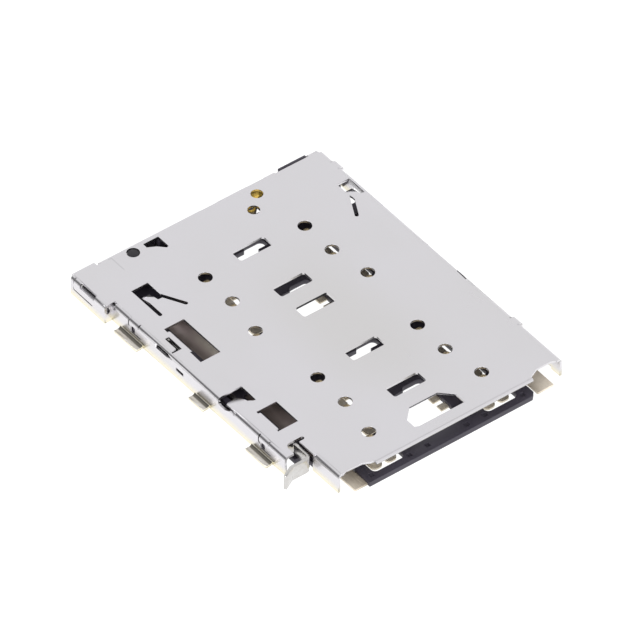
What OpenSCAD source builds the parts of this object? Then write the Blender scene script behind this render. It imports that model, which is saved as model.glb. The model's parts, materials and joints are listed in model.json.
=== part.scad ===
// Two-bay tray socket for small chip cards: a folded metal shell over a moulded base,
// twelve spring contacts, a tray-detect switch and a push-rod ejector.
// X runs across the socket, +Y from the mouth to the back, Z up from the board.

/* [Contact field] */
// Distance between the middles of the two card bays
bay_pitch = 10.5; // [10.3:0.1:11]
// Pitch from the first to the second contact row of a bay
row_pitch_a = 2.54; // [2.5:0.01:2.6]
// Pitch from the second to the third contact row of a bay
row_pitch_b = 2.76; // [2.7:0.01:2.85]
// Half the spread of the contacts in the first two rows
column_near = 3.575; // [3.45:0.025:3.7]
// Half the spread of the contacts in the third row
column_far = 4.03; // [3.9:0.01:4.15]
// Diameter of the clearance hole over each contact
contact_hole_d = 0.85; // [0.7:0.05:1]

/* [Shell] */
// Thickness of the shell's sheet
sheet = 0.15; // [0.12:0.01:0.18]
// Height of the shell's top face above the board
shell_h = 1.4; // [1.36:0.02:1.7]
// Outer radius of the shell's bends
bend_r = 0.28; // [0.25:0.01:0.32]
// Outer radius of the front lip's bend
lip_r = 0.2; // [0.19:0.01:0.22]
// Contact centre line to the outer face of the left wall
left_x = 9.1; // [9:0.05:9.6]
// Contact centre line to the outer face of the right wall
right_x = 8.33; // [8.2:0.05:8.8]
// Back bay's middle to the outer face of the back wall
back_y = 7.5; // [7.45:0.05:8.1]
// Front bay's middle to the shell's front lip
front_y = 4.9; // [4.8:0.05:5.3]
// Clearance of the wall opening around the lever
lever_gap = 0.08; // [0.05:0.01:0.12]
// Gap between the board and the walls that carry no foot
wall_gap = 0.08; // [0.04:0.01:0.15]
// How far the rear left corner stands out past the left wall
corner_out = 0.52; // [0.4:0.02:0.6]
// How far the rear left corner stands out past the back wall
corner_back = 0.18; // [0.1:0.02:0.3]
// Step of the plate's front left edge in from the left wall
front_step = 1.48; // [1.4:0.02:1.6]
// How far the solder feet reach out from a wall
foot_out = 0.48; // [0.4:0.02:0.6]
// Inner radius of the bend above a foot
foot_bend = 0.2; // [0.16:0.01:0.24]
// How far the right latch tabs stand out past the right wall
tab_out = 0.15; // [0.1:0.01:0.2]
// Width of the cuts beside the latch tabs
tab_cut = 0.08; // [0.06:0.01:0.12]
// Height of the latch tabs' lug holes above the board
lug_z = 0.82; // [0.78:0.01:0.84]
// Depth of the plate's notches in from the back wall's face
notch_in = 0.18; // [0.12:0.01:0.24]

/* [Shell openings] */
// Width of the slots along the centre line
slot_w = 2.28; // [2:0.02:2.5]
// Length of the slots along the centre line
slot_l = 0.9; // [0.7:0.02:1]
// Corner radius of the slots
slot_r = 0.15; // [0.1:0.01:0.2]
// Middle of a bay's rear slot behind the bay's middle
slot_rear = 2.94; // [2.8:0.02:3]
// Middle of a bay's middle slot in front of the bay's middle
slot_mid = 0.86; // [0.8:0.02:0.95]
// Middle of a bay's front slot in front of the bay's middle
slot_front = 2.99; // [2.9:0.02:3.05]
// Width of the large window near the mouth
mouth_win_w = 3.5; // [3.2:0.05:3.8]
// Length of the large window near the mouth
mouth_win_l = 1.55; // [1.4:0.05:1.6]
// Corner cut of the large window
mouth_win_cut = 0.75; // [0.6:0.05:0.8]
// Outer face of the left wall to the outer edge of the guide windows
guide_out = 1.05; // [1:0.01:1.1]
// Outer face of the left wall to the inner edge of the guide windows
guide_in = 2.45; // [2.3:0.05:2.6]
// Width of the push rod's lane, outer wall face to guide flange
lane_w = 1.2; // [1.15:0.01:1.3]
// Middle of the rear guide window
guide_rear_y = 4.15; // [4:0.05:4.3]
// Length of the rear guide window
guide_rear_l = 3.45; // [3.2:0.05:3.6]
// Middle of the front guide window
guide_front_y = -3.76; // [-3.9:0.02:-3.6]
// Length of the front guide window
guide_front_l = 2.02; // [1.9:0.02:2.2]
// Length of the rear guide flange
flange_rear_l = 2.1; // [1.9:0.05:2.2]
// Length of the front guide flange
flange_front_l = 1.65; // [1.5:0.05:1.7]
// Width of the latch windows' narrow slots
slit = 0.24; // [0.18:0.01:0.26]
// Front edge of the latch windows
latch_y = 8.05; // [8:0.05:8.2]
// Length of the latch windows
latch_l = 1.5; // [1.4:0.05:1.6]
// Width of the left latch window
latch_w = 1.17; // [1.1:0.01:1.25]
// Length of the latch tongues, from root to tip
tongue_l = 1.2; // [1.1:0.05:1.25]
// Length of the latch noses, measured level
nose_l = 0.85; // [0.7:0.05:0.95]
// Depth of the latch noses below the plate
nose_drop = 0.2; // [0.15:0.01:0.25]
// Width of the latch noses
nose_w = 0.55; // [0.45:0.01:0.6]
// Diameter of the two round holes over the detect switch
switch_hole_d = 0.75; // [0.6:0.05:0.85]

/* [Housing] */
// Thickness of the housing's floor
floor_t = 0.35; // [0.31:0.01:0.4]
// Clearance between the housing and the shell
shell_gap = 0.05; // [0.03:0.01:0.08]
// Reach of the housing's front bar past the shell's lip
bar_reach = 0.2; // [0.1:0.02:0.3]
// Corner cut at the front bar's right end
bar_corner = 0.25; // [0.15:0.01:0.3]
// Left end of the front bar
bar_left = 5.85; // [5.8:0.01:5.9]
// Right end of the front bar
bar_right = 6.05; // [6:0.01:6.1]
// Contact window's edge in front of the contact point, by row
window_front = [2.05, 2.15, 1.94]; // [1.9:0.01:2.2]
// Contact window's edge outwards of the contact point, by row
window_outer = [1.05, 1.42, 1.12]; // [1:0.01:1.45]
// Contact window's edge inwards of the contact point, by row
window_inner = [1.3, 1.3, 1.1]; // [1.05:0.01:1.35]
// Contact window's edge behind the contact point
window_back = 0.37; // [0.35:0.01:0.42]
// Corner radius of the contact windows
window_r = 0.3; // [0.2:0.01:0.34]
// Half width of the windows along the centre line
centre_half = 1.65; // [1.5:0.01:1.68]
// Length of the windows along the centre line
centre_l = 3.1; // [2.9:0.05:3.15]
// Step in the rear edge of the windows along the centre line
centre_step = 0.25; // [0.2:0.01:0.3]
// How far the floor's front corners are cut back over the solder tabs
corner_cut = 1.95; // [1.8:0.05:2.2]
// Height of the rear wall's top above the board
rear_wall_h = 1.15; // [1:0.01:1.18]
// Thickness of the rear wall
rear_wall_t = 0.3; // [0.24:0.01:0.34]
// Height of the rod guide rib above the floor
rib_h = 0.5; // [0.4:0.02:0.55]
// Width of the rod guide rib
rib_w = 0.35; // [0.3:0.01:0.4]
// Side of the square dimples in the front bar
dimple = 0.3; // [0.2:0.01:0.35]
// Depth of the dimples
dimple_d = 0.15; // [0.08:0.01:0.2]

/* [Metal inlays] */
// Thickness of the side rails
rail_t = 0.15; // [0.12:0.01:0.18]
// Width of the left rail
rail_left_w = 1.55; // [1.4:0.01:1.6]
// Contact centre line to the inner edge of the left rail
rail_left_x = 5.7; // [5.65:0.01:5.78]
// Width of the right rail
rail_right_w = 1.37; // [1.25:0.01:1.45]
// Contact centre line to the inner edge of the right rail
rail_right_x = 6.1; // [6:0.01:6.15]
// Width of the left rail's solder tab
tab_left_w = 0.9; // [0.85:0.01:1.1]
// Width of the right rail's solder tab
tab_right_w = 1.17; // [1:0.01:1.25]
// Rear end of the rails
rail_back = 8.1; // [7.9:0.05:8.3]

/* [Contacts] */
// Thickness of the contact strip
contact_t = 0.12; // [0.1:0.01:0.13]
// Gap between a contact's two legs
leg_gap = 0.26; // [0.22:0.01:0.34]
// Reach of the legs in front of the contact point, by row
leg_reach = [1.85, 1.93, 1.58]; // [1.5:0.01:2]
// Contact point to the outer leg's outer edge, by row
leg_outer = [0.82, 1.33, 0.88]; // [0.8:0.01:1.35]
// Contact point to the inner leg's inner edge
leg_inner = 0.88; // [0.8:0.01:0.92]
// Corner radius of the legs
leg_r = 0.28; // [0.2:0.01:0.32]
// How far the ears are held in the moulding beside a window
ear_hold = 0.15; // [0.1:0.01:0.2]
// Width of the strip across the ears
ear_w = 0.35; // [0.3:0.01:0.4]
// Reach of the ears' middle in front of the contact point
ear_reach = 0.72; // [0.68:0.01:0.76]
// Reach of the beam's root in front of the contact point
beam_reach = 1.15; // [1.1:0.01:1.25]
// Bend radius of the beam at the contact point
beam_r = 0.35; // [0.3:0.01:0.36]
// Angle at which the beam's tip ends
beam_end = 25; // [20:1:40]
// Height of the contact point above the board
contact_z = 0.95; // [0.85:0.01:1.02]
// Width of a contact beam at its root
beam_root_w = 0.95; // [0.8:0.01:1.1]
// Width of a contact beam at its tip
beam_tip_w = 0.55; // [0.45:0.01:0.6]
// Width of the tails in the centre windows
tail_w = 0.46; // [0.4:0.01:0.5]
// Contact centre line to the end of the tails
tail_x = 1.12; // [1.1:0.01:1.2]
// Height of the detect contacts' upper edge
switch_z = 1.12; // [1.05:0.01:1.14]
// Height of the detect contacts' strip
switch_h = 0.5; // [0.45:0.01:0.52]

/* [Ejector] */
// Thickness of the push rod's strip
rod_t = 0.2; // [0.16:0.01:0.22]
// Running clearance of the ejector's pieces
run_gap = 0.05; // [0.04:0.01:0.06]
// Height of the push pad
pad_h = 1.02; // [0.9:0.01:1.1]
// Height of the push rod's strip in its lane
lane_h = 0.56; // [0.5:0.01:0.58]
// How far the pad's end stands out past the left wall
pad_out = 0.75; // [0.65:0.01:0.85]
// Gap from the left wall's front end to the pad
pad_front = 0.6; // [0.5:0.02:0.7]
// Outer face of the left wall to the lever's pivot
pivot_in = 3.52; // [3.4:0.01:3.65]
// Outer face of the back wall to the lever's pivot
pivot_back = 0.68; // [0.66:0.01:0.72]
// Radius of the pivot boss
boss_r = 0.35; // [0.3:0.01:0.36]
// Depth of the pivot boss's top below the shell's top face
boss_drop = 0.04; // [0.03:0.01:0.1]
// Radial clearance of the lever on its boss
boss_gap = 0.03; // [0.02:0.01:0.05]
// Thickness of the lever
lever_t = 0.3; // [0.25:0.01:0.32]
// Length of the lever's rod arm
lever_in = 2.9; // [2.8:0.01:3]
// Length of the lever's tray arm
lever_out = 5; // [4.6:0.05:5.2]
// Angle of the rod arm behind the lever's cross line, with the rod pushed home
lever_rest = 7; // [6:0.5:8]
// Angle of the tray arm in front of the lever's cross line, with the rod pushed home
lever_swing = 41; // [39:0.5:43]
// Radius of the lever's hub
hub_r = 0.62; // [0.58:0.01:0.64]
// Radius of the rod arm's nose
lever_nose_r = 0.25; // [0.22:0.01:0.27]
// Radius of the tray arm's tip
lever_tip_r = 0.38; // [0.3:0.01:0.42]

/* [Hidden] */
$fn = 48;
// Overlap of folded pieces with the plate they grow from, and overrun of cuts
lap = 0.1;
over = 0.1;
SIDES = [["left", -1], ["right", 1]];
BAYS = [["front", -1], ["back", 1]];
ROWS = [0, 1, 2];

// Main planes
xl = -left_x;
xr = right_x;
yb = bay_pitch / 2 + back_y;
yf = -bay_pitch / 2 - front_y;
z_under = shell_h - sheet;
x_corner = xl - corner_out;
y_corner = yb + corner_back;
x_front = xl + front_step;
x_flange = xl + lane_w;

// Lengthwise stations of the shell's edges
left_front_y = -6.75;
corner_y = 9.42;
left_rear_y = corner_y + sheet;
front_wall_rear = -7.4;
side_front_y = yf + 0.37;
front_wall_y = side_front_y + 0.05;
// Plate's front edge beside the lip: in from the wall and back from the lip, point by point
lip_left = [[3.9, lip_r], [3.65, 0.23], [3.2, 0.45], [2.1, 0.5]];
lip_right = [[0.78, 0.55], [1.68, 0.55], [2.33, 0.25], [2.33, lip_r]];
// Cut-out for the push rod: its rear edge, corner radius and reach, and the slot at its inner end
relief_y = -5.9;
relief_r = 0.35;
relief_x = x_front - 0.83;
relief_w = 0.25;
relief_l = 0.3;
// Right end of the corner's step in the plate's back edge
corner_x = xl + 1.25;
// Opening and slit in the corner's wall: front and rear end, drop below the plate, reach over the bend
corner_open = [corner_y + 1, yb - 0.95];
corner_open_drop = 0.3;
corner_slit = [corner_y + 1.18, yb - 0.35];
corner_slit_drop = 0.83;
corner_in = 0.24;
// Left latch tabs: front and rear edge of each
left_tabs = [[-5.15, -4.35], [7, 7.8]];
// Right latch tabs: front and rear edge of each
right_tabs = [[-6.02, -5.38], [10.62, 11.26]];
// Solder feet: front and rear edge of each
left_feet = [[-5.6, -3.7], [0.25, 1.6], [6.5, 8.6]];
right_feet = [[-9, -7.1], [-3.8, -1.9], [3.3, 5.4]];
// Right wall stretches, front and rear edge of each
right_walls = [[side_front_y, -0.3], [2.5, 6.75], [9.45, yb - 0.4]];
// Back wall stretches, left and right edge of each
back_walls = [[xl + 1.5, -0.35], [0.95, 2.95], [4.3, 4.95], [xr - 0.98, xr - 0.33]];
// Back notches with a plain plate edge, left and right edge of each
back_notches = [[-0.35, 0.95], [2.95, 4.3]];
// Deep back notch over the housing's rear block, its left and right edge and its depth
deep_notch = [4.97, xr - 1];
deep_in = 0.22;
// Hole in the corner's front end: its height above the board, its length and its share across
jog_hole_z = 0.95;
jog_hole = 0.5;
jog_squeeze = 0.6;
// Nick in the bend in front of it
jog_nick = 0.2;
// Lance in the left wall: its front and rear end, its drop below the plate and its width
lance_y = [3.7, 5.4];
lance_drop = 0.25;
lance_w = 0.26;
// Small window in the left wall: its front and rear end, and its lower and upper edge below the plate
wall_window = [2.7, 3.4];
wall_window_drop = [0.75, 0.53];
// Cuts of the left latch tabs: reach over the bend, shape of the long one, depth of the short one
tab_in = 0.23;
tab_knee = 0.92;
tab_low = 0.56;
tab_heel = 0.2;
tab_toe = 0.3;
tab_nick = 0.25;
// Lugs in the tabs' holes: half width and half height, corner radius, clearance and length
lug_half = [0.13, 0.16];
lug_r = 0.1;
lug_gap = 0.03;
lug_l = 1;
lug_block = 0.6;
// Slit behind the right wall's bend: its front and rear end, distance inside the face and depth
right_slit = [-1.25, -0.4];
right_slit_in = 0.23;
right_slit_drop = 0.5;
// Hook window: in from the left wall's face and along Y, point by point
hook_window = [
  [-over, -0.55], [1.65, -0.55], [1.65, -1.93], [1.5, -1.93],
  [1.26, -1.75], [0.11, -1.75], [0.11, -2.1], [-over, -2.1]
];
// Its notch in the wall: along Y and up from the plate's top face
hook_notch = [[-0.55, over], [-0.6, -0.4], [-0.75, -0.45], [-1.2, -0.43], [-2.05, -0.04], [-2.05, over]];
// Its tongue: outline from the left wall's face, crease, length and drop
hook_tongue = [
  [0.14, -1.85], [0.2, -1.1], [0.35, -1], [0.8, -0.98], [1.05, -1.12], [1.2, -1.5], [1.22, -1.85]
];
hook_crease = -1.75;
hook_l = 0.8;
hook_drop = 0.2;
// L-shaped slot beside the rear guide window: two boxes, in from the left wall's face and along Y
lane_slot = [[0.6, 4, 0.87, 5.2], [0.22, 3.96, 0.87, 4.14]];
// Opening beside the pivot: its rear left corner from the pivot, and its outline from there
flap_at = [0.88, 0.23];
flap_shape = [[0, 0], [1.07, 0], [1.07, -1], [0.92, -1.05], [0.5, -0.62], [0, -0.35]];
// Rear guide flange's middle behind its window's middle
flange_rear_step = 0.35;
// Latch tongues: front end of their slits, lean of the sloping slits, right window's width and step
slit_end = latch_y - tongue_l;
slit_lean = 0.7;
latch_right_w = 0.87;
latch_right_step = 0.05;
// Level start of the noses
nose_root = 0.05;
// Large window near the mouth: its step forward from the slots' grid and the nick in its corner
mouth_win_step = 0.24;
mouth_nick = [0.25, 0.1];
// Holes over the detect switch: place across and distance in front of the back wall
switch_holes = [[3.05, 1.02], [2.07, 2]];
// Plain stretches of the plate's right edge: front, rear and distance inside the wall's face
plain_edges = [[-0.4, 2.6, 0.16], [6.6, 9.6, 0.13]];
// Drop of the short skirt on the rear plain edge
skirt_h = 0.4;

// Contact rows
row_mid = (row_pitch_a + row_pitch_b) / 2;
row_ys = [row_mid, row_mid - row_pitch_a, -row_mid];
// Tail's middle behind the ear's middle, per row
tail_steps = [-0.4, -1.09, 0.9];
tail_link = [1.75, 2.62];

// Centre windows: their middles behind each bay's middle
centre_ys = [2.72, -1.58];
// Block beside the rear ones: its inner edge, and its front and rear edge from the window's middle
block_x = 0.95;
block_y = [-0.2, 0.9];

// Detect switch stations; the spring's nose and end are measured in front of the back wall
spring_root = [4.2, 3.7];
spring_nose = [2.2, 1.85];
spring_end = [1.85, 1.5];
terminal_x = [0.1, 1.3, 1.6, 2.1];
roof_x = [2.85, 3.68];
roof_in = 1.1;
terminal_step = 0.32;
terminal_r = 0.2;
spring_r = [0.3, 0.25];
switch_back = 0.43;
switch_tail_w = 0.45;
switch_tail_out = 0.2;

// Ejector
pivot = [xl + pivot_in, yb - pivot_back];
rod_x = x_flange - run_gap - rod_t / 2;
rod_front_x = x_front - run_gap - rod_t / 2;
rod_top = z_under - run_gap;
rod_bottom = floor_t + run_gap;
pad_y = left_front_y - pad_front;
pad_curl = 0.4;
rod_jog = [-0.05, 0.45];
rod_r = [0.3, 0.3, 0.25, 0.25, 0.2];
lever_rise = 0.27;
lever_z = floor_t + lever_rise;
lever_play = 0.02;
shoulder_r = hub_r - 0.05;
lever_hub_w = 0.4;
tray_arm_w = 0.45;
pivot_hole_r = boss_r + run_gap;
nose_x = pivot[0] - lever_in * cos(lever_rest);
flag_x = rod_x + rod_t / 2;
// Share of the rod arm's length at the rod's line, and the arm's half width there
flag_share = (pivot[0] - flag_x) / cos(lever_rest) / lever_in;
flag_half = lever_hub_w + (lever_nose_r - lever_hub_w) * flag_share;
rod_end = pivot[1] + (pivot[0] - flag_x) * tan(lever_rest) - flag_half / cos(lever_rest) - run_gap;

// Housing: rib along the rod's lane, rear wall, block in the deep notch, floor steps, grooves and dimples
rib_x = rod_x - rod_t / 2 - 2 * run_gap;
rib_inset = 0.4;
rear_wall_left = 2;
rear_wall_right = 0.5;
rear_block_in = 0.35;
floor_step = 0.4;
floor_nick = 0.3;
groove_ys = [[yf + 1.2, relief_y], [guide_front_y - 1.2, -0.3], [0.5, 2.4], [3, rail_back - 0.3]];
// Opening in the floor under the right latch: in from the wall's face, and behind the window's front edge
latch_floor_in = 1.15;
latch_floor_step = 0.6;
// Opening in the floor under the switch: across, and in front of the back wall
switch_floor = [[2.3, 3.2], [1.4, 0.8]];
dimple_y = 0.45;
dimple_xs = [1.4, 2.7, 5.4];

function contact_name(bay, side, row) = str("contact_", bay[0], "_", side[0], "_", row + 1);
function contact_x(row) = row == 2 ? column_far : column_near;
function contact_y(bay, row) = bay[1] * bay_pitch / 2 + row_ys[row];

shell_tint = [0.82, 0.82, 0.83];
housing_tint = [0.09, 0.09, 0.11];
inlay_tint = [0.62, 0.57, 0.48];
contact_tint = [0.66, 0.52, 0.32];
steel_tint = [0.76, 0.76, 0.77];

// Vector helpers for strips folded along a path
function unit(v) = v / norm(v);
function left_of(v) = [-v[1], v[0]];
function turn(a, b) = atan2(a[0] * b[1] - a[1] * b[0], a * b);
function spot(r, a) = r * [cos(a), sin(a)];
function arc(c, r, a0, a1, n = 8) = [for (i = [0:n]) c + spot(r, a0 + (a1 - a0) * i / n)];

// One corner of a path, rounded with radius r
function round_corner(a, p, b, r) =
  let (d = unit(p - a), e = unit(b - p), t = turn(d, e), s = sign(t))
  let (from = p - d * r * tan(abs(t) / 2), c = from + left_of(d) * r * s)
  let (start = atan2(from[1] - c[1], from[0] - c[0]))
  arc(c, r, start, start + t, 6);

// A path with its inner corners rounded; radii holds one value for each inner corner
function rounded(p, radii) = concat(
  [p[0]],
  [for (i = [1:len(p) - 2]) each round_corner(p[i - 1], p[i], p[i + 1], radii[i - 1])],
  [p[len(p) - 1]]
);

// Mitred side vector of a path at point i
function side_at(p, i) =
  let (d = unit(p[min(i + 1, len(p) - 1)] - p[min(i, len(p) - 2)]))
  let (e = unit(p[max(i, 1)] - p[max(i - 1, 0)]))
  let (m = unit(d + e))
  left_of(m) / (m * d);

// Flat outline of a strip of width w that follows a path
module strip(p, w) {
  edge = [for (i = [0:len(p) - 1]) side_at(p, i) * w / 2];
  last = len(p) - 1;
  polygon(concat([for (i = [0:last]) p[i] + edge[i]], [for (i = [0:last]) p[last - i] - edge[last - i]]));
}

module box2(x0, y0, x1, y1) translate([x0, y0]) square([x1 - x0, y1 - y0]);

// Rectangle with round corners
module round_box(x0, y0, x1, y1, r) {
  box2(x0 + r, y0, x1 - r, y1);
  box2(x0, y0 + r, x1, y1 - r);
  for (x = [x0 + r, x1 - r])
    for (y = [y0 + r, y1 - r])
      translate([x, y]) circle(r);
}

module slab(z0, z1) translate([0, 0, z0]) linear_extrude(z1 - z0) children();

// Carries a section, drawn outwards and up from a wall's outer top corner, along Y or X
module along_right(x, y0, y1) translate([x, y1, 0]) rotate([90, 0, 0]) linear_extrude(y1 - y0) children();
module along_left(x, y0, y1) translate([x, 0, 0]) mirror([1, 0, 0]) along_right(0, y0, y1) children();
module along_back(y, x0, x1) translate([x0, y, 0]) rotate([90, 0, 90]) linear_extrude(x1 - x0) children();

// Section of a folded wall: its reach over the plate, the bend and the straight drop to height z0
module wall_section(z0, reach = lap) {
  translate([-bend_r - reach, z_under]) square([reach, sheet]);
  translate([-bend_r, shell_h - bend_r])
    intersection() {
      difference() {
        circle(bend_r);
        circle(bend_r - sheet);
      }
      square(bend_r + over);
    }
  translate([-sheet, z0]) square([sheet, shell_h - bend_r - z0]);
}

// Section of a wall whose end is turned outwards into a solder foot
module foot_section() {
  turn_r = foot_bend + sheet;
  translate([-sheet, turn_r]) square([sheet, lap]);
  translate([foot_bend, turn_r])
    intersection() {
      difference() {
        circle(turn_r);
        circle(foot_bend);
      }
      translate([-turn_r - over, -turn_r - over]) square(turn_r + over);
    }
  translate([foot_bend, 0]) square([foot_out - foot_bend, sheet]);
}

// Flat outline of the shell's top plate, out to the start of each bend
module plate_outline() {
  polygon(concat(
    [[x_corner + bend_r, corner_y], [x_corner + bend_r, y_corner - bend_r], [corner_x, y_corner - bend_r]],
    [[corner_x, yb - bend_r], [xr - bend_r, yb - bend_r], [xr - bend_r, side_front_y]],
    [for (p = lip_right) [xr - p[0], yf + p[1]]],
    [for (p = lip_left) [xl + p[0], yf + p[1]]],
    [[x_front + bend_r, side_front_y], [x_front + bend_r, relief_y]],
    arc([relief_x + relief_r, relief_y - relief_r], relief_r, 90, 180, 6),
    [[relief_x, left_front_y], [xl + bend_r, left_front_y], [xl + bend_r, corner_y]]
  ));
  box2(x_front, front_wall_rear - over, x_front + bend_r + over, relief_y - relief_w);
  for (n = back_notches)
    box2(n[0], yb - bend_r - lap, n[1], yb - notch_in);
  for (e = plain_edges)
    box2(xr - bend_r - lap, e[0], xr - e[2], e[1]);
  for (t = right_tabs)
    box2(xr - bend_r - lap, t[0], xr + tab_out - bend_r, t[1]);
}

// Rounded slots on the centre line, seen over the solder tails
module centre_slots() {
  for (b = BAYS)
    for (y = [slot_rear, -slot_mid])
      translate([0, b[1] * bay_pitch / 2 + y])
        round_box(-slot_w / 2, -slot_l / 2, slot_w / 2, slot_l / 2, slot_r);
  translate([0, bay_pitch / 2 - slot_front])
    round_box(-slot_w / 2, -slot_l / 2, slot_w / 2, slot_l / 2, slot_r);
  w = mouth_win_w / 2;
  y = -bay_pitch / 2 - slot_front - mouth_win_step;
  l = mouth_win_l / 2;
  cut = mouth_win_cut;
  polygon([
    [cut - w, y + l], [w - cut, y + l], [w, y + l - cut], [w, y - l],
    [mouth_nick[0] - w, y - l], [-w, y - l + mouth_nick[1]], [-w, y + l - cut]
  ]);
}

module round_holes() {
  for (b = BAYS)
    for (s = SIDES)
      for (r = ROWS)
        translate([s[1] * contact_x(r), contact_y(b, r)]) circle(d = contact_hole_d);
  translate(pivot) circle(pivot_hole_r);
  for (h = switch_holes)
    translate([h[0], yb - h[1]]) circle(d = switch_hole_d);
}

// Narrow slit between two points, with a round end at the second
module slit_cut(from, to) {
  strip([from, to], slit);
  translate(to) circle(d = slit);
}

// Latch windows and the slits that free their tongues
module latch_windows() {
  left = x_front;
  inner = left + latch_w;
  box2(left, latch_y, inner, latch_y + latch_l);
  slit_cut([left + slit / 2, latch_y + over], [left + slit / 2, slit_end + slit / 2]);
  slit_cut([inner - slit / 3, latch_y + slit], [inner + slit_lean, slit_end]);
  right = xr - bend_r;
  edge = right - latch_right_w;
  box2(edge, latch_y + latch_right_step, right, latch_y + latch_l);
  slit_cut([edge + slit / 3, latch_y + slit], [edge - slit_lean, slit_end - latch_right_step]);
}

// Openings above the push rod's lane
module lane_windows() {
  for (g = [[guide_rear_y, guide_rear_l], [guide_front_y, guide_front_l]])
    box2(xl + guide_out, g[0] - g[1] / 2, xl + guide_in, g[0] + g[1] / 2);
  polygon([for (p = hook_window) [xl + p[0], p[1]]]);
  for (b = lane_slot)
    box2(xl + b[0], b[1], xl + b[2], b[3]);
}

// Sloping tongue of the hook window, cut to its outline
module hook_lug() intersection() {
  along_back(hook_crease, xl, xl + lane_w + lap)
    polygon([
      [-lap, z_under], [-lap, shell_h], [0, shell_h], [hook_l, shell_h - hook_drop],
      [hook_l, z_under - hook_drop], [0, z_under]
    ]);
  slab(0, shell_h + over) polygon([for (p = hook_tongue) [xl + p[0], p[1]]]);
}

// Tapered opening beside the pivot
module flap_window() translate(pivot + flap_at) polygon(flap_shape);

// Guide flange folded down from the edge of a lane window
module guide_flange(y, l) along_right(x_flange + sheet, y - l / 2, y + l / 2)
  wall_section(floor_t + run_gap, lane_w + sheet - bend_r - guide_out + lap);

// Sloping noses at the ends of the latch tongues
module latch_noses() {
  right = xr - bend_r - latch_right_w + nose_root;
  for (n = [[x_front + slit, latch_y], [right, latch_y + latch_right_step]])
    along_back(n[1], n[0], n[0] + nose_w)
      polygon([
        [-lap, z_under], [-lap, shell_h], [nose_root, shell_h], [nose_l, shell_h - nose_drop],
        [nose_l, z_under - nose_drop], [nose_root, z_under]
      ]);
}

// Front lip, bent down a little at the mouth
module front_lip() translate([0, yf, 0]) mirror([0, 1, 0])
  along_back(0, xl + lip_left[0][0], xr - lip_right[3][0]) {
    translate([-lip_r - lap, z_under]) square([lap, sheet]);
    translate([-lip_r, shell_h - lip_r])
      intersection() {
        difference() {
          circle(lip_r);
          circle(lip_r - sheet);
        }
        square(lip_r + over);
      }
  }

// Carries an outline, drawn along Y and up, through the left wall and over its bend
module through_left(reach)
  translate([xl - over, 0, 0]) rotate([90, 0, 90]) linear_extrude(reach + over) children();

// Long bent cut behind and under a left latch tab, and the nick in the bend at its front
module tab_cuts(t) {
  y = t[1] + tab_cut / 2;
  through_left(tab_in) {
    strip(
      [[y, shell_h + over], [y, tab_knee], [t[1] - tab_heel, tab_low], [t[0] - tab_toe, tab_low]],
      tab_cut
    );
    box2(t[0] - tab_cut, shell_h - tab_nick, t[0], shell_h + over);
  }
}

module left_walls() {
  difference() {
    union() {
      along_left(xl, left_front_y, left_rear_y) wall_section(wall_gap);
      along_left(x_front, front_wall_y, front_wall_rear) wall_section(wall_gap);
    }
    for (f = left_feet)
      through_left(sheet + over) box2(f[0], -over, f[1], foot_bend + sheet);
    for (t = left_tabs) {
      tab_cuts(t);
      lug_hole(xl, (t[0] + t[1]) / 2, lug_gap);
    }
    through_left(sheet) polygon([for (p = hook_notch) [p[0], shell_h + p[1]]]);
    wall_lance();
    through_left(sheet + over)
      box2(wall_window[0], shell_h - wall_window_drop[0], wall_window[1], shell_h - wall_window_drop[1]);
    through_left(corner_in) box2(corner_y - jog_nick, shell_h - bend_r, corner_y, shell_h + over);
  }
  for (f = left_feet)
    along_left(xl, f[0], f[1]) foot_section();
}

// Slender lens cut through the left wall under its bend
module wall_lance() {
  half = (lance_y[1] - lance_y[0]) / 2;
  w = lance_w / 2;
  through_left(sheet + over) translate([lance_y[0] + half, shell_h - lance_drop])
    polygon([
      [-half, 0], [-0.4 * half, w], [0.6 * half, w], [half, 0.8 * w], [0.8 * half, -w], [-0.3 * half, -w]
    ]);
}

// Upright oval for a moulded lug, through a wall whose outer face is at x
module lug_hole(x, y, gap) translate([x - lug_l / 2, y, lug_z]) rotate([90, 0, 90]) linear_extrude(lug_l)
  round_box(-lug_half[0] - gap, -lug_half[1] - gap, lug_half[0] + gap, lug_half[1] + gap, lug_r);

module right_side() {
  difference() {
    union() {
      for (w = right_walls)
        along_right(xr, w[0], w[1]) wall_section(wall_gap);
    }
    for (t = right_tabs)
      slab(wall_gap - over, shell_h + over) box2(xr - bend_r, t[0] - tab_cut, xr + over, t[1] + tab_cut);
    for (f = right_feet)
      translate([xr - sheet - over, f[0], 0]) cube([sheet + 2 * over, f[1] - f[0], foot_bend + sheet]);
    translate([xr - right_slit_in, right_slit[0], shell_h - right_slit_drop])
      cube([tab_cut, right_slit[1] - right_slit[0], right_slit_drop + over]);
  }
  difference() {
    for (t = right_tabs)
      along_right(xr + tab_out, t[0], t[1]) wall_section(wall_gap);
    for (t = right_tabs)
      lug_hole(xr, (t[0] + t[1]) / 2, lug_gap);
  }
  for (f = right_feet)
    along_right(xr, f[0], f[1]) foot_section();
  skirt = plain_edges[1];
  along_right(xr - skirt[2], skirt[0], skirt[1])
    translate([-sheet, shell_h - skirt_h]) square([sheet, skirt_h]);
}

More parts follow.
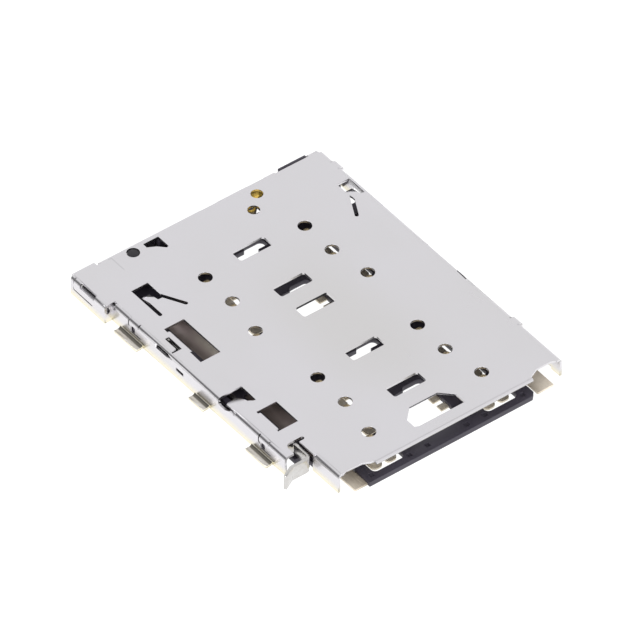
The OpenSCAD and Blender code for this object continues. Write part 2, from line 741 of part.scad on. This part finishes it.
// The back wall stretches, the first one open below for the lever's hub and rod arm
module back_side() {
  difference() {
    for (w = back_walls)
      along_back(yb, w[0], w[1]) wall_section(wall_gap);
    slab(0, lever_z + lever_t + lever_gap)
      box2(back_walls[0][0] - over, yb - bend_r - over, pivot[0] + hub_r + lever_gap, yb + over);
  }
  along_back(y_corner, x_corner + bend_r, corner_x) wall_section(wall_gap);
  difference() {
    along_left(x_corner, corner_y, y_corner - bend_r) wall_section(wall_gap);
    translate([-corner_out, 0, 0]) through_left(corner_in) {
      box2(corner_open[0], shell_h - corner_open_drop, corner_open[1], shell_h + over);
      box2(corner_slit[1] - tab_cut, shell_h - corner_slit_drop, corner_slit[1], shell_h + over);
      box2(corner_slit[0], shell_h - corner_slit_drop, corner_slit[1], shell_h - corner_slit_drop + tab_cut);
    }
  }
  corner_jog();
}

// Narrow wall that closes the corner's front end, with a small oval hole
module corner_jog() translate([0, corner_y + sheet, 0]) rotate([90, 0, 0]) linear_extrude(sheet)
  difference() {
    box2(x_corner + sheet / 2, wall_gap, xl + sheet, z_under + sheet / 2);
    translate([x_corner + corner_out / 2, jog_hole_z]) scale([jog_squeeze, 1]) circle(d = jog_hole);
  }

module shell() color(shell_tint) {
  difference() {
    union() {
      slab(z_under, shell_h) plate_outline();
      left_walls();
      right_side();
      back_side();
      front_lip();
    }
    slab(z_under - over, shell_h + over) {
      centre_slots();
      round_holes();
      latch_windows();
      lane_windows();
      flap_window();
      box2(deep_notch[0], yb - deep_in, deep_notch[1], yb);
      box2(x_front - over, relief_y - relief_w, x_front + relief_l, relief_y);
      translate([x_front + relief_l, relief_y - relief_w / 2]) circle(d = relief_w);
    }
  }
  latch_noses();
  hook_lug();
  guide_flange(guide_rear_y + flange_rear_step, flange_rear_l);
  guide_flange(guide_front_y, flange_front_l);
}

// Flat part of a contact, drawn from its contact point with the outside of the socket at +X
module contact_flat(row) {
  ear = -ear_reach;
  low = ear - ear_w / 2;
  high = ear + ear_w / 2;
  x = contact_x(row);
  y = ear + tail_steps[row];
  round_box(leg_gap / 2, -leg_reach[row], leg_outer[row], high, leg_r);
  round_box(-leg_inner, -leg_reach[row], -leg_gap / 2, high, leg_r);
  box2(tail_link[0] - x, low, window_outer[row] + ear_hold, high);
  box2(tail_link[0] - x, min(low, y - tail_w / 2), tail_link[1] - x, max(high, y + tail_w / 2));
  box2(tail_x - x, y - tail_w / 2, tail_link[1] - x, y + tail_w / 2);
}

// Side path of a contact's beam: an eased rise to the contact point, then an arc down
function beam_path() =
  let (low = contact_t / 2, high = contact_z - contact_t / 2)
  concat(
    [for (i = [0:9]) [-beam_reach * (1 - i / 10), low + (high - low) * (1 - cos(18 * i)) / 2]],
    arc([0, high - beam_r], beam_r, 90, beam_end, 5)
  );

module contact(bay, side, row) color(contact_tint)
  translate([side[1] * contact_x(row), contact_y(bay, row), 0])
    mirror([side[1] < 0 ? 1 : 0, 0, 0]) {
      linear_extrude(contact_t) contact_flat(row);
      intersection() {
        translate([-beam_root_w, 0, 0]) rotate([90, 0, 90]) linear_extrude(2 * beam_root_w)
          strip(beam_path(), contact_t);
        linear_extrude(shell_h) polygon([
          [-beam_root_w / 2, -beam_reach], [beam_root_w / 2, -beam_reach],
          [beam_tip_w / 2, window_back], [-beam_tip_w / 2, window_back]
        ]);
      }
    }

// Outline of a side rail with its narrower front tab; inner is its inner edge from the centre line
module rail_outline(inner, w, tab_in, tab_w) {
  box2(inner, yf + corner_cut, inner + w, rail_back);
  box2(inner + tab_in, yf, inner + tab_in + tab_w, yf + corner_cut + lap);
}

module left_rail_outline()
  mirror([1, 0]) rail_outline(rail_left_x, rail_left_w, bar_left - rail_left_x, tab_left_w);
module right_rail_outline() rail_outline(rail_right_x, rail_right_w, rail_right_w - tab_right_w, tab_right_w);

module left_rail() color(inlay_tint) linear_extrude(rail_t) left_rail_outline();
module right_rail() color(inlay_tint) linear_extrude(rail_t) right_rail_outline();

// Flat outline of the housing's floor
module floor_outline() {
  left = xl + sheet + shell_gap;
  right = xr - sheet - shell_gap;
  back = yb - sheet - shell_gap;
  front = yf - bar_reach;
  step = yf + corner_cut;
  inner = x_front + sheet + shell_gap;
  polygon([
    [-bar_left, front], [bar_right - bar_corner, front], [bar_right, front + bar_corner], [bar_right, step],
    [right, step], [right, back], [left, back], [left, relief_y + floor_nick], [rod_x, relief_y + floor_nick],
    [rod_x, relief_y - floor_step], [inner, relief_y - floor_step], [inner, step], [-bar_left, step]
  ]);
}

// Windows on the centre line, each with a step in its rear edge and the rear ones with a side block
module centre_windows() {
  for (b = BAYS)
    for (y = centre_ys)
      translate([0, b[1] * bay_pitch / 2 + y]) difference() {
        union() {
          round_box(-centre_half, -centre_l / 2, centre_half, centre_l / 2 - centre_step, window_r);
          round_box(centre_step, -centre_l / 2, centre_half, centre_l / 2, window_r);
        }
        if (y > 0)
          box2(block_x, block_y[0], centre_half + over, block_y[1]);
      }
}

module contact_windows() {
  for (b = BAYS)
    for (s = SIDES)
      for (r = ROWS)
        translate([s[1] * contact_x(r), contact_y(b, r)])
          mirror([s[1] < 0 ? 1 : 0, 0, 0])
            round_box(-window_inner[r], -window_front[r], window_outer[r], window_back, window_r);
}

// Openings in the floor above the rails
module rail_grooves() {
  for (g = groove_ys) {
    box2(-rail_left_x - rail_left_w + over, g[0], -rail_left_x - over, g[1]);
    box2(rail_right_x + over, g[0], rail_right_x + rail_right_w - over, g[1]);
  }
}

// Ribs, rear wall and lug posts that stand on the floor
module housing_walls() {
  back = yb - sheet - shell_gap;
  block = [deep_notch[0] + rear_block_in, deep_notch[1] - shell_gap];
  slab(floor_t - over, floor_t + rib_h) {
    box2(rib_x - rib_w, relief_y + rib_inset, rib_x, left_rear_y - rib_inset);
    for (t = right_tabs)
      box2(xr - lug_block, t[0] - lap, xr - sheet - shell_gap, t[1] + lap);
  }
  slab(floor_t - over, rear_wall_h) {
    box2(pivot[0] + rear_wall_left, back - rear_wall_t, xr - rear_wall_right, back);
    box2(block[0], back - rear_wall_t, block[1], yb);
  }
  slab(rear_wall_h - over, shell_h - shell_gap)
    box2(block[0], yb - deep_in + shell_gap, block[1], yb);
  for (t = left_tabs)
    intersection() {
      lug_hole(xl, (t[0] + t[1]) / 2, 0);
      slab(0, shell_h) box2(xl + sheet / 2, t[0], rib_x - rib_w / 2, t[1]);
    }
  for (t = right_tabs)
    intersection() {
      lug_hole(xr, (t[0] + t[1]) / 2, 0);
      slab(0, shell_h) box2(xr - lug_l / 2, t[0], xr + tab_out - sheet / 2, t[1]);
    }
  translate(pivot) {
    cylinder(r = shoulder_r, h = lever_z - lever_play);
    cylinder(r = boss_r, h = shell_h - boss_drop);
  }
}

module dimples() {
  y = yf - bar_reach + dimple_y;
  for (x = dimple_xs)
    for (s = SIDES)
      slab(floor_t - dimple_d, floor_t + over) translate([s[1] * x, y]) square(dimple, center = true);
}

module housing() color(housing_tint)
  difference() {
    union() {
      linear_extrude(floor_t) difference() {
        floor_outline();
        contact_windows();
        centre_windows();
        box2(xr - latch_floor_in, latch_y + latch_floor_step, xr, right_tabs[1][0] - 2 * lap);
        box2(switch_floor[0][0], yb - switch_floor[1][0], switch_floor[0][1], yb - switch_floor[1][1]);
      }
      housing_walls();
    }
    for (b = BAYS)
      for (s = SIDES)
        for (r = ROWS)
          translate([s[1] * contact_x(r), contact_y(b, r), -over])
            mirror([s[1] < 0 ? 1 : 0, 0, 0])
              linear_extrude(contact_t + over) contact_flat(r);
    slab(-over, rail_t) {
      left_rail_outline();
      right_rail_outline();
    }
    slab(0, floor_t + over) rail_grooves();
    dimples();
    switch_pockets();
  }

// Paths of the detect contacts, seen from above
function spring_path() = rounded(
  [
    [spring_root[0], yb - switch_back], [spring_root[1], yb - switch_back],
    [spring_nose[0], yb - spring_nose[1]], [spring_end[0], yb - spring_end[1]]
  ],
  spring_r
);
function terminal_path() = rounded(
  [for (i = [0:3]) [terminal_x[i], yb - switch_back - (i < 2 ? 0 : terminal_step)]],
  [terminal_r, terminal_r]
);

// Upright root and solder tail of a detect contact, from x to the right
module switch_tail(x) {
  y = yb - switch_back;
  translate([x, y - contact_t / 2, 0]) cube([switch_tail_w, contact_t, switch_z]);
  translate([x, y - contact_t / 2, 0]) cube([switch_tail_w, switch_back + switch_tail_out, contact_t]);
}

// Flat tab on the detect spring, under the rear switch hole
module spring_roof()
  box2(roof_x[0], yb - roof_in, roof_x[1], yb - sheet - shell_gap - rear_wall_t - shell_gap);

module detect_spring() color(contact_tint) {
  slab(switch_z - contact_t, switch_z) spring_roof();
  slab(switch_z - switch_h, switch_z) strip(spring_path(), contact_t);
  switch_tail(spring_root[0] - switch_tail_w);
}

module detect_terminal() color(contact_tint) {
  slab(switch_z - switch_h, switch_z) strip(terminal_path(), contact_t);
  switch_tail(terminal_x[0]);
}

// Room for the detect contacts in the rear wall and the floor
module switch_pockets() {
  y = yb - switch_back - contact_t / 2;
  slab(switch_z - switch_h, shell_h) {
    strip(spring_path(), contact_t);
    strip(terminal_path(), contact_t);
  }
  for (x = [spring_root[0] - switch_tail_w, terminal_x[0]])
    translate([x, y, -over]) {
      cube([switch_tail_w, contact_t, shell_h]);
      cube([switch_tail_w, 1, contact_t + over]);
    }
}

// Centre line of the push rod, from the pad's free end to the flag behind the lever's nose
function rod_path() =
  let (end = rod_end - rod_t / 2)
  rounded(
    [
      [xl - pad_out, pad_y - pad_curl], [xl, pad_y], [rod_front_x, pad_y],
      [rod_front_x, relief_y + rod_jog[0]], [rod_x, relief_y + rod_jog[1]],
      [rod_x, end], [nose_x - lever_nose_r, end]
    ],
    rod_r
  );

module push_rod() color(steel_tint) {
  left = xl - pad_out - rod_t;
  front = pad_y - pad_curl - rod_t;
  slab(rod_bottom, rod_bottom + lane_h) strip(rod_path(), rod_t);
  slab(rod_bottom, rod_top)
    intersection() {
      strip(rod_path(), rod_t);
      box2(left, front, x_front, relief_y);
    }
  slab(rod_top - pad_h, rod_top)
    intersection() {
      strip(rod_path(), rod_t);
      box2(left, front, rod_front_x - rod_t / 2, pad_y + rod_t);
    }
}

// Tapered lever arm with a round end
module arm(angle, length, root, end) rotate(angle) {
  polygon([[0, -root], [length, -end], [length, end], [0, root]]);
  translate([length, 0]) circle(end);
}

module eject_lever() color(steel_tint)
  slab(lever_z, lever_z + lever_t)
    translate(pivot)
      difference() {
        union() {
          circle(hub_r);
          arm(180 - lever_rest, lever_in, lever_hub_w, lever_nose_r);
          arm(-lever_swing, lever_out, tray_arm_w, lever_tip_r);
        }
        circle(boss_r + boss_gap);
      }

shell();
housing();
left_rail();
right_rail();
detect_spring();
detect_terminal();
push_rod();
eject_lever();
for (b = BAYS)
  for (s = SIDES)
    for (r = ROWS)
      contact(b, s, r);
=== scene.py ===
"""Looks of a low tray socket for chip cards: satin steel shell, black moulded base, plated springs."""
import json
import math

import bmesh
import bpy
import numpy as np
from mathutils import Matrix, Vector


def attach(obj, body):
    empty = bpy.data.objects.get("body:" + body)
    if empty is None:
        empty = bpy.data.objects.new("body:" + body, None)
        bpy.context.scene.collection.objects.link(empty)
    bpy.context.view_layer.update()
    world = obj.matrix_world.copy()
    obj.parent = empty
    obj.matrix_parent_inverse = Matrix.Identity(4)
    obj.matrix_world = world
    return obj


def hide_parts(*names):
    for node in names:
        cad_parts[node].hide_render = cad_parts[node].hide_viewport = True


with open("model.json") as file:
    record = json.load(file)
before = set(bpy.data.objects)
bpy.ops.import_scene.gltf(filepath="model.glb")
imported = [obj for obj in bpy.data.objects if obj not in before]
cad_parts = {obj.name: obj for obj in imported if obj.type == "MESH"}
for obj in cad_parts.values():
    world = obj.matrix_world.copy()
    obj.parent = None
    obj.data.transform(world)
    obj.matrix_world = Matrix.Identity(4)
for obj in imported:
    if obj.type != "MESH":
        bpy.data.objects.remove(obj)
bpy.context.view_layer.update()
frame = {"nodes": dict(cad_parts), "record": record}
nodes = frame["nodes"]

MM = 0.001
BLACK, WHITE = (0.0, 0.0, 0.0, 1.0), (1.0, 1.0, 1.0, 1.0)

# Edges: the least angle of a sharp one, and the most that a run of them turns from one to the next
SHARP_ANGLE, RUN_TURN = math.radians(30), math.radians(40)
# Corners closer than this are merged, in millimetres, and faces nearer to one plane than this are joined
MERGE, FLAT_ANGLE = 0.0002, math.radians(0.5)
# For each finish the width of its rolled edges, and the length that each edge of a rolled run exceeds
ROLLS = {"shell_steel": (0.014, 0.06), "black_moulding": (0.025, 0), "ejector_steel": (0.03, 0),
         "inlay_metal": (0.015, 0), "contact_metal": (0.01, 0.1)}

# Outer faces of the shell's left and right wall, in millimetres
LEFT_WALL, RIGHT_WALL = -9.1, 8.33
# Corner of the score in the top plate, in millimetres
SCORE_X, SCORE_Y = -6.85, 12.45

# The floor's half width and its height, in millimetres
FLOOR_HALF, FLOOR_Z = 500, -0.03
# The room's dim patch: where it lies, and how much light it takes
DIM_SIDE, DIM_SHARE = (-0.75, 0.55, 0.37), 0.82
OVERHEAD_SHARE = 0.6
# The lamps: place and width in millimetres, and power in watts
LAMPS = {"lamp_left": ((-190, -60, 150), 120, 0.16), "lamp_front": ((-40, -200, 140), 120, 0.12)}

# The camera: its right-hand and backward directions, and its focal length in pixels of the photograph
CAMERA_RIGHT, CAMERA_BACK = (0.7924, -0.6100, 0.0), (-0.4471, -0.5808, 0.6803)
FOCAL_PIXELS, PHOTO_PIXELS, SENSOR = 12231, 640, 36.0
# What it looks at, how far that stands off the picture's middle, and its distance, in millimetres
CAMERA_AIM, SHIFT_RIGHT, SHIFT_UP, DISTANCE = (0, -0.1, 1.4), -1.18, 0.397, 693.7


class Wire:
    """One shader socket: an expression on wires adds the Math nodes that work it out."""

    def __init__(self, tree, socket=None):
        self.tree, self.socket = tree, socket

    def node(self, kind, settings=None, sockets=None, out=0):
        """Adds a node of one type: its settings come first, then its sockets' values or links."""
        made = self.tree.nodes.new("ShaderNode" + kind)
        for name, value in (settings or {}).items():
            setattr(made, name, value)
        for name, value in (sockets or {}).items():
            if isinstance(value, Wire):
                self.tree.links.new(value.socket, made.inputs[name])
            else:
                made.inputs[name].default_value = value
        return Wire(self.tree, made.outputs[out])

    def math(self, operation, *others):
        values = dict(enumerate((self, *others)))
        return self.node("Math", {"operation": operation}, values)

    def __add__(self, other):
        return self.math("ADD", other)

    def __sub__(self, other):
        return self.math("SUBTRACT", other)

    def __rsub__(self, other):
        return self.node("Math", {"operation": "SUBTRACT"}, {0: other, 1: self})

    def __mul__(self, other):
        return self.math("MULTIPLY", other)

    def __truediv__(self, other):
        return self.math("DIVIDE", other)

    __radd__ = __add__

    def away(self, value):
        """How far this wire is from a value, either way."""
        return (self - value).math("ABSOLUTE")

    def ramp(self, low, high):
        """A smooth rise from 0 at low to 1 at high; with high below low it falls instead."""
        flip = high < low
        rise = self.node("MapRange", {"interpolation_type": "SMOOTHSTEP"},
                         {"Value": self, "From Min": min(low, high), "From Max": max(low, high)})
        return 1 - rise if flip else rise

    def blend(self, one, other):
        """Mixes two colours with this wire as the share of the second."""
        return self.node("Mix", {"data_type": "RGBA"}, {0: self, 6: one, 7: other}, 2)


def tone(red, green, blue):
    """A colour given as it looks on screen, 0 to 255, turned into linear light."""
    values = np.array([red, green, blue]) / 255
    return (*np.where(values > 0.04045, ((values + 0.055) / 1.055) ** 2.4, values / 12.92), 1.0)


def finish(name, **fixed):
    """A new material: itself, its first wire, its surface node, and the place in millimetres."""
    made = bpy.data.materials.new(name)
    made.use_nodes = True
    tree = made.node_tree
    surface = tree.nodes["Principled BSDF"]
    for socket, value in fixed.items():
        surface.inputs[socket.replace("_", " ")].default_value = value
    wire = Wire(tree)
    here = wire.node("TexCoord", out=3)
    place = wire.node("VectorMath", {"operation": "SCALE"}, {0: here, "Scale": 1 / MM})
    return made, wire, surface, place


def grain(wire, place, scale, stretch=(1, 1, 1), detail=3.0, rough=0.5, shift=(0, 0, 0)):
    """Noise around zero, stretched along the axes, with its scale in waves per millimetre."""
    spread = wire.node("Mapping", None, {"Vector": place, "Scale": stretch, "Location": shift})
    value = wire.node("TexNoise", None,
                      {"Vector": spread, "Scale": scale, "Detail": detail, "Roughness": rough})
    return value - 0.5


def link(wire, surface, **sockets):
    """Leads wires to the sockets of a surface node."""
    for name, value in sockets.items():
        wire.tree.links.new(value.socket, surface.inputs[name.replace("_", " ")])


def bump(wire, height, depth):
    """A Bump node over a height wire; depth is how deep its full swing is, in metres."""
    return wire.node("Bump", None, {"Height": height, "Strength": 1.0, "Distance": depth})


def parts(wire, place):
    """The three coordinates of a place as wires."""
    split = wire.tree.nodes.new("ShaderNodeSeparateXYZ")
    wire.tree.links.new(place.socket, split.inputs[0])
    return [Wire(wire.tree, out) for out in split.outputs]


def shell_steel():
    """Satin stainless sheet: faint rolling lines along its length, a warm haze over the middle, a duller
    fracture band on sheared edges, a score at the back left, a cream flush low on the walls, a dull tin
    wash on the feet and painted shade in the feet's bends."""
    made, wire, surface, place = finish("shell_steel", Specular_IOR_Level=0.5)
    x, y, z = parts(wire, place)
    upward = wire.node("Attribute", {"attribute_name": "level"}, out=2)
    lines = grain(wire, place, 1.0, (7, 0.35, 7), 2, 0.4)
    cloud = grain(wire, place, 0.16, detail=2)
    mottle = grain(wire, place, 2.3, detail=4, shift=(4, 7, 1))
    sheared = upward.ramp(0.6, 0.2) * z.ramp(1.19, 1.21) * z.ramp(1.28, 1.25)
    flush = (z + mottle * 0.2).ramp(0.7, 0.1) * upward.ramp(0.6, 0.2)
    wash = z.ramp(0.34, 0.2) * upward.ramp(0.35, 0.75)
    outside = x.away(LEFT_WALL).math("MINIMUM", x.away(RIGHT_WALL))
    # Painted shade: a dark band in the bend of each foot, just outside the walls, stands in for the shade
    # there.
    painted_bend_shade = z.ramp(0.36, 0.28) * outside.ramp(0.24, 0.16) * outside.ramp(0.0, 0.03) * upward.ramp(0.1, 0.4)
    along = x.away(SCORE_X).ramp(0.06, 0.02) * y.ramp(11.15, 11.3) * y.ramp(12.5, 12.4)
    across = y.away(SCORE_Y).ramp(0.06, 0.02) * x.ramp(-7.12, -7.06) * x.ramp(-6.8, -6.85)
    score = (along + across) * z.ramp(1.38, 1.39)
    haze = ((x - 0.5) * (x - 0.5) / 18 + y * y / 60).math("SQRT").ramp(1.2, 0.2)
    base = (0.5 + cloud * 1.6).blend(tone(216, 214, 219), tone(213, 211, 213))
    base = (haze * 0.75).blend(base, tone(208, 206, 205))
    base = (0.2 + lines * 0.3).blend(base, tone(216, 215, 218))
    base = (score * 0.5).blend(base, tone(190, 189, 192))
    base = (sheared * 0.55).blend(base, tone(150, 148, 143))
    base = flush.blend(base, tone(235, 228, 205))
    base = (wash * (0.85 + mottle)).blend(base, tone(226, 221, 212))
    base = (painted_bend_shade * 0.9).blend(base, tone(84, 80, 70))
    rough = 0.25 + lines * 0.05 + cloud * 0.06 + mottle * 0.03 + sheared * 0.2 + wash * 0.08
    link(wire, surface, Base_Color=base, Roughness=rough, Metallic=1 - wash * 0.4,
         Normal=bump(wire, lines + mottle * 0.2 - score * 4, 0.0003 * MM))
    return made


def black_moulding():
    """Moulded black polymer: a bluish cast, pale flow streaks, a fine pitted skin and painted shade on the
    boss top.
    """
    made, wire, surface, place = finish("black_moulding", Specular_IOR_Level=0.4)
    x, _, z = parts(wire, place)
    streak = grain(wire, place, 0.9, (0.35, 1.6, 1), 5, 0.6)
    pits = grain(wire, place, 14, detail=3)
    # Painted shade: the top of the boss on the left is darkened to stand in for the shade it sits in.
    painted_boss_shade = z.ramp(1.28, 1.34) * x.ramp(1, -1)
    base = (0.5 + streak * 1.5).blend(tone(46, 43, 52), tone(72, 68, 79))
    base = painted_boss_shade.blend(base, tone(34, 32, 38))
    link(wire, surface, Base_Color=base, Roughness=0.46 + streak * 0.16 + pits * 0.12,
         Normal=bump(wire, pits + streak * 0.6, 0.004 * MM))
    return made


def inlay_metal():
    """Thin plated strip: cloudy red-brown plate with painted shade towards the left wall and a painted
    pale highlight under the rear lane window, tinned at the front tabs, with painted shade on their inner
    sides."""
    made, wire, surface, place = finish("inlay_metal")
    x, y, _ = parts(wire, place)
    tinned = y.ramp(-7.9, -8.5)
    # Painted light: a pale patch where light through the rear lane window falls on the strip.
    painted_window_light = x.ramp(-6.75, -6.05) * x.ramp(0, -1) * y.ramp(2.5, 3.5) * y.ramp(6.3, 4.4)
    # Painted shade: darker towards the left wall, where the shell shades the strip.
    painted_wall_shade = x.ramp(-6.45, -7.0)
    # Painted shade: darker on the inner sides of the front tabs.
    painted_tab_shade = x.math("ABSOLUTE").ramp(7.15, 5.9)
    mottle = grain(wire, place, 1.7, detail=4)
    lines = grain(wire, place, 1.0, (22, 1.5, 22))
    cloud = grain(wire, place, 0.55, (1.6, 0.7, 1), 2, 0.4, (1, 5, 2))
    base = (0.5 + cloud * 2.6).blend(tone(226, 211, 208), tone(164, 146, 141))
    base = (0.3 + mottle).blend(base, tone(192, 177, 172))
    base = (painted_wall_shade * (0.8 + mottle)).blend(base, tone(132, 121, 114))
    base = (painted_window_light * (0.9 + mottle)).blend(base, tone(255, 247, 232))
    base = (tinned * 0.9).blend(base, tone(242, 232, 214))
    base = (tinned * painted_tab_shade * (0.75 + lines)).blend(base, tone(150, 138, 120))
    link(wire, surface, Base_Color=base, Roughness=0.42 + mottle * 0.14 + lines * 0.1,
         Metallic=0.6 - tinned * 0.4, Normal=bump(wire, lines + mottle, 0.002 * MM))
    return made


def contact_metal():
    """Copper alloy spring: gold flash over the raised beam, paler plate low down at the tails."""
    made, wire, surface, place = finish("contact_metal", Metallic=0.55)
    height = parts(wire, place)[2]
    mottle = grain(wire, place, 3.1, detail=4)
    lines = grain(wire, place, 1.0, (30, 4, 30))
    gold = (height + mottle * 0.25).ramp(0.14, 0.45)
    base = gold.blend(tone(226, 220, 208), tone(236, 216, 176))
    base = (0.4 + mottle * 1.2).blend(base, tone(196, 180, 146))
    base = height.ramp(1.0, 1.08).blend(base, tone(232, 196, 92))
    link(wire, surface, Base_Color=base, Roughness=0.38 + mottle * 0.12 + lines * 0.08,
         Normal=bump(wire, lines, 0.0015 * MM))
    return made


def ejector_steel():
    """Blanked stainless strip: fine draw lines, a slightly rolled sheen and small dull spots."""
    made, wire, surface, place = finish("ejector_steel", Metallic=1.0)
    lines = grain(wire, place, 1.0, (9, 9, 34), 4, 0.6)
    spots = grain(wire, place, 2.6, detail=4)
    base = (0.5 + spots * 1.3).blend(tone(208, 207, 206), tone(190, 187, 183))
    link(wire, surface, Base_Color=base, Roughness=0.24 + lines * 0.12 + spots * 0.08,
         Normal=bump(wire, lines, 0.002 * MM))
    return made


def pale_floor():
    """A light table: matt white with the least tooth, lit from below so that it holds no shadow."""
    made, wire, surface, place = finish("pale_floor", Roughness=0.9, Specular_IOR_Level=0.1,
                                        Emission_Color=WHITE, Emission_Strength=1.0)
    tooth = grain(wire, place, 0.4, detail=2)
    link(wire, surface, Base_Color=(0.5 + tooth).blend(tone(128, 128, 128), tone(132, 132, 132)))
    return made


def runs(form, least):
    """The sharp edges of a form, and those of them to roll: whole runs of edges that turn little from
    one to the next, each of them longer than least. A run that is rolled in part would fold over."""
    sharp = [e for e in form.edges if e.is_manifold and e.calc_face_angle() > SHARP_ANGLE]
    left, rolled = set(sharp), []
    for first in sharp:
        run, reach = [], [first] if first in left else []
        left.discard(first)
        while reach:
            edge = reach.pop()
            run.append(edge)
            for end in edge.verts:
                way = end.co - edge.other_vert(end).co
                onward = [e for e in end.link_edges
                          if e in left and way.angle(e.other_vert(end).co - end.co) < RUN_TURN]
                left.difference_update(onward)
                reach += onward
        if run and min(e.calc_length() for e in run) > least * MM:
            rolled += run
    return sharp, rolled


def keep_inside(mesh, node_mesh):
    """Moves the corners of a mesh that stand past the box of its node back onto that box."""
    old, new = (np.empty((len(each.vertices), 3)) for each in (node_mesh, mesh))
    node_mesh.vertices.foreach_get("co", old.ravel())
    mesh.vertices.foreach_get("co", new.ravel())
    mesh.vertices.foreach_set("co", np.clip(new, old.min(0), old.max(0)).ravel())


def mark_level(mesh):
    """Adds the attribute "level": how level each face lies, from 0 for upright to 1 for flat."""
    facing = np.empty((len(mesh.polygons), 3))
    mesh.polygons.foreach_get("normal", facing.ravel())
    level = mesh.attributes.new("level", "FLOAT", "FACE")
    level.data.foreach_set("value", np.abs(facing[:, 2]))


def worn(name, roll, least):
    """A copy of a node with its triangles merged, flat neighbours joined and its longer sharp edges
    rolled over by a narrow round of the given width, as blanking and tumbling leave them. Other sharp
    edges stay crisp."""
    made = bpy.data.objects.new(name + "_worn", bpy.data.meshes.new(name + "_worn"))
    form = bmesh.new()
    form.from_mesh(nodes[name].data)
    bmesh.ops.remove_doubles(form, verts=form.verts, dist=MERGE * MM)
    bmesh.ops.dissolve_limit(form, angle_limit=FLAT_ANGLE, verts=form.verts, edges=form.edges)
    for face in form.faces:
        face.smooth = True
    sharp, rolled = runs(form, least)
    for edge in sharp:
        edge.smooth = False
    for edge in rolled:
        edge.smooth = True
    bmesh.ops.bevel(form, geom=rolled, offset=roll * MM, offset_type="OFFSET",
                    segments=2, profile=0.5, affect="EDGES", clamp_overlap=False)
    form.to_mesh(made.data)
    form.free()
    keep_inside(made.data, nodes[name].data)
    mark_level(made.data)
    even = made.modifiers.new("even", "WEIGHTED_NORMAL")
    even.weight, even.keep_sharp = 100, True
    bpy.context.scene.collection.objects.link(made)
    return made


def dress():
    """Each node is shown by its worn copy, in the finish of its record slot."""
    makers = (shell_steel, black_moulding, inlay_metal, contact_metal, ejector_steel)
    finishes = {maker.__name__: maker() for maker in makers}
    bodies = {n: body for body, held in frame["record"]["behaviour"]["bodies"].items() for n in held}
    for row in frame["record"]["subparts"]:
        node, slot = row["node"], row["material_slot"]
        made = worn(node, *ROLLS[slot])
        made.data.materials.append(finishes[slot])
        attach(made, bodies[node])
        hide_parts(node)


def floor():
    """A flat square sheet just under the board plane: two parameters give x and y."""
    u, v = np.meshgrid((-1.0, 1.0), (-1.0, 1.0))
    points = np.stack([u * FLOOR_HALF, v * FLOOR_HALF, np.full(u.shape, FLOOR_Z)], -1).reshape(-1, 3) * MM
    mesh = bpy.data.meshes.new("floor")
    mesh.from_pydata(points.tolist(), [], [(0, 1, 3, 2)])
    mesh.materials.append(pale_floor())
    made = bpy.data.objects.new("floor", mesh)
    bpy.context.scene.collection.objects.link(made)


def softbox(name, spot, size, power):
    """A square soft light that looks at the socket's middle; sizes in millimetres."""
    lamp = bpy.data.lights.new(name, "AREA")
    lamp.size, lamp.energy = size * MM, power
    made = bpy.data.objects.new(name, lamp)
    made.location = Vector(spot) * MM
    made.rotation_euler = (-made.location).to_track_quat("-Z", "Y").to_euler()
    bpy.context.scene.collection.objects.link(made)


def studio():
    """A bright room, dim overhead and towards the back left, with soft lamps at the front and the left."""
    world = bpy.data.worlds.new("studio")
    world.use_nodes = True
    room = world.node_tree.nodes["Background"]
    wire = Wire(world.node_tree)
    sight = wire.node("TexCoord", out=0)
    side = wire.node("VectorMath", {"operation": "DOT_PRODUCT"}, {0: sight, 1: DIM_SIDE}, 1)
    height = parts(wire, sight)[2]
    light = (1 - side.ramp(0.84, 0.96) * DIM_SHARE) * (1 - height.ramp(0.85, 0.95) * OVERHEAD_SHARE)
    link(wire, room, Color=light.blend(BLACK, WHITE))
    bpy.context.scene.world = world
    bpy.context.scene.view_settings.view_transform = "Standard"
    for name, lamp in LAMPS.items():
        softbox(name, *lamp)


def camera():
    """The photograph's viewpoint, fitted to the grid of contact holes: a long lens at the front left."""
    right = Vector(CAMERA_RIGHT)
    back = Vector(CAMERA_BACK).normalized()
    up = back.cross(right).normalized()
    right = up.cross(back)
    lens = bpy.data.cameras.new("camera")
    lens.sensor_width, lens.lens = SENSOR, SENSOR * FOCAL_PIXELS / PHOTO_PIXELS
    made = bpy.data.objects.new("camera", lens)
    spot = (Vector(CAMERA_AIM) + SHIFT_RIGHT * right + SHIFT_UP * up + DISTANCE * back) * MM
    turned = Matrix((right, up, back)).transposed().to_4x4()
    made.matrix_world = Matrix.Translation(spot) @ turned
    bpy.context.scene.collection.objects.link(made)
    bpy.context.scene.camera = made


dress()
floor()
studio()
camera()
